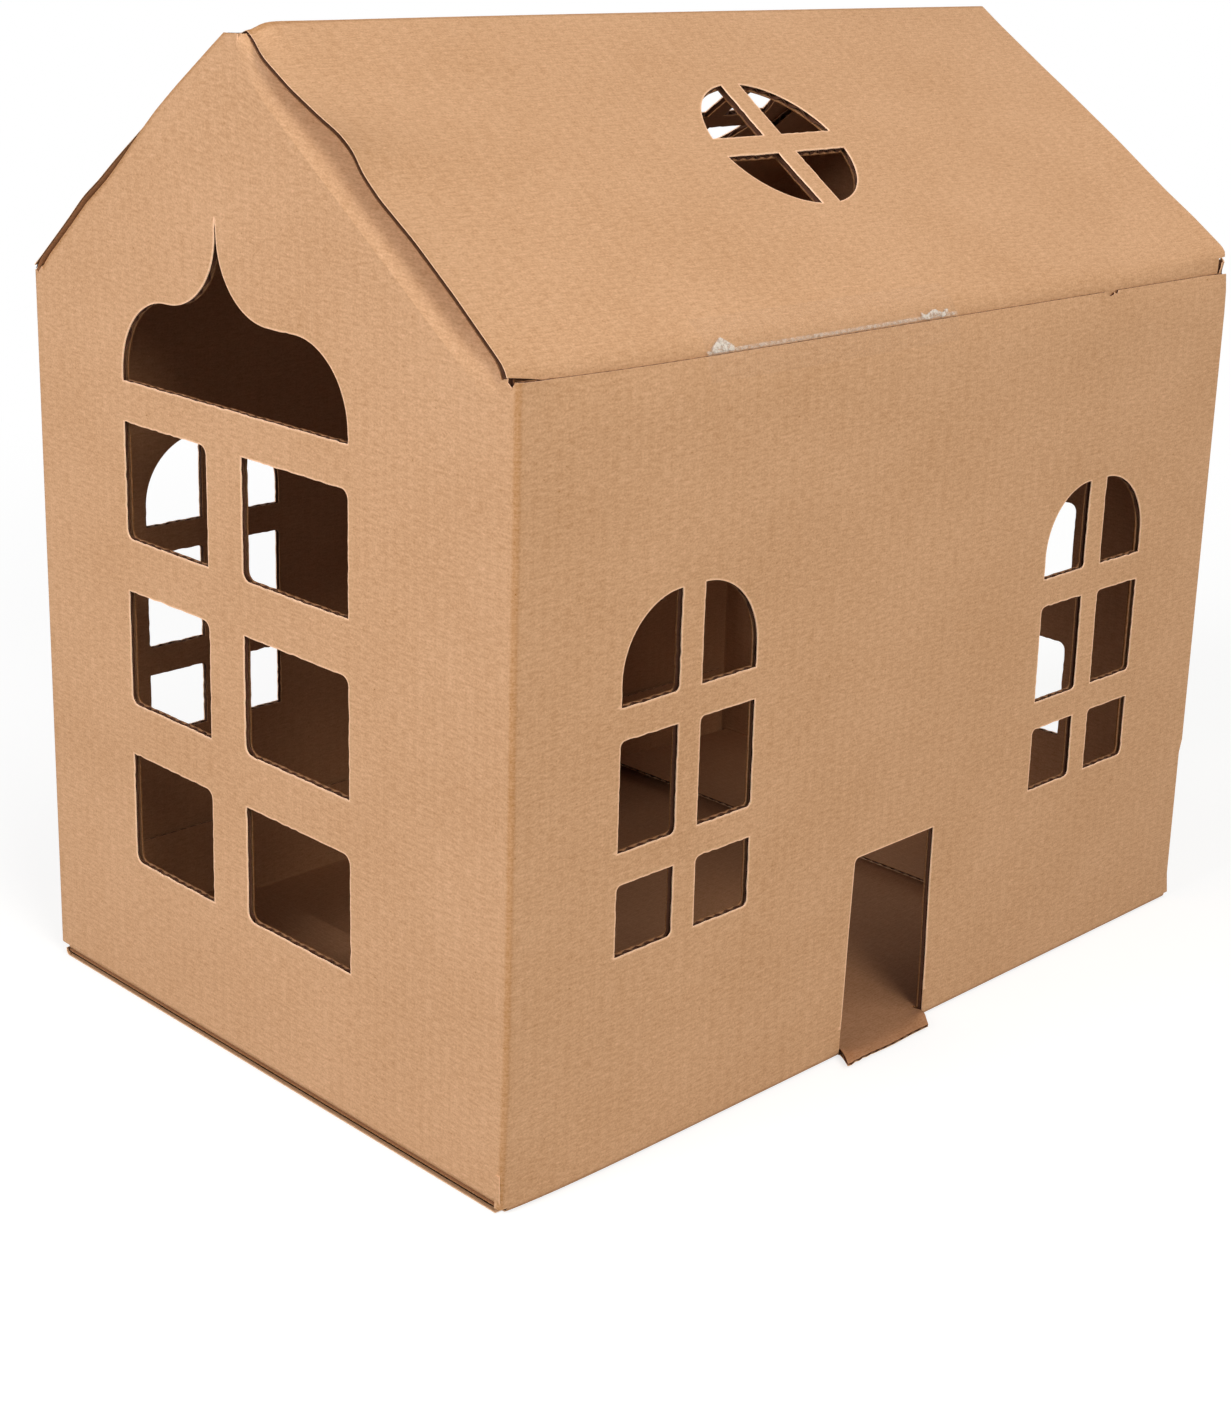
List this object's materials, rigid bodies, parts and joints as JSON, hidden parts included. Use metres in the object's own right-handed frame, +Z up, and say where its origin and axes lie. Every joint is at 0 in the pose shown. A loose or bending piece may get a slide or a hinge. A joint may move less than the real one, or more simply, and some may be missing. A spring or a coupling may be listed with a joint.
{
  "type": "cardboard house",
  "caption": "Small house folded from a sheet of corrugated cardboard, with barred window cut-outs, an open doorway with a sill tab, and clear tape along an eave.",
  "frame": {"origin": "middle of the walls' footprint, on the surface that the house stands on", "axes": "+Z up; +Y along the ridge, from the front gable to the back gable; +X towards the long wall with the doorway"},
  "size_m": [0.196, 0.279, 0.2656],
  "materials": {
    "cardboard": "uncoated kraft liner",
    "clear_tape": "clear glossy film"
  },
  "bodies": {
    "root": {"folded_sheet": "cardboard", "eave_tape": "clear_tape"}
  },
  "joints": []
}
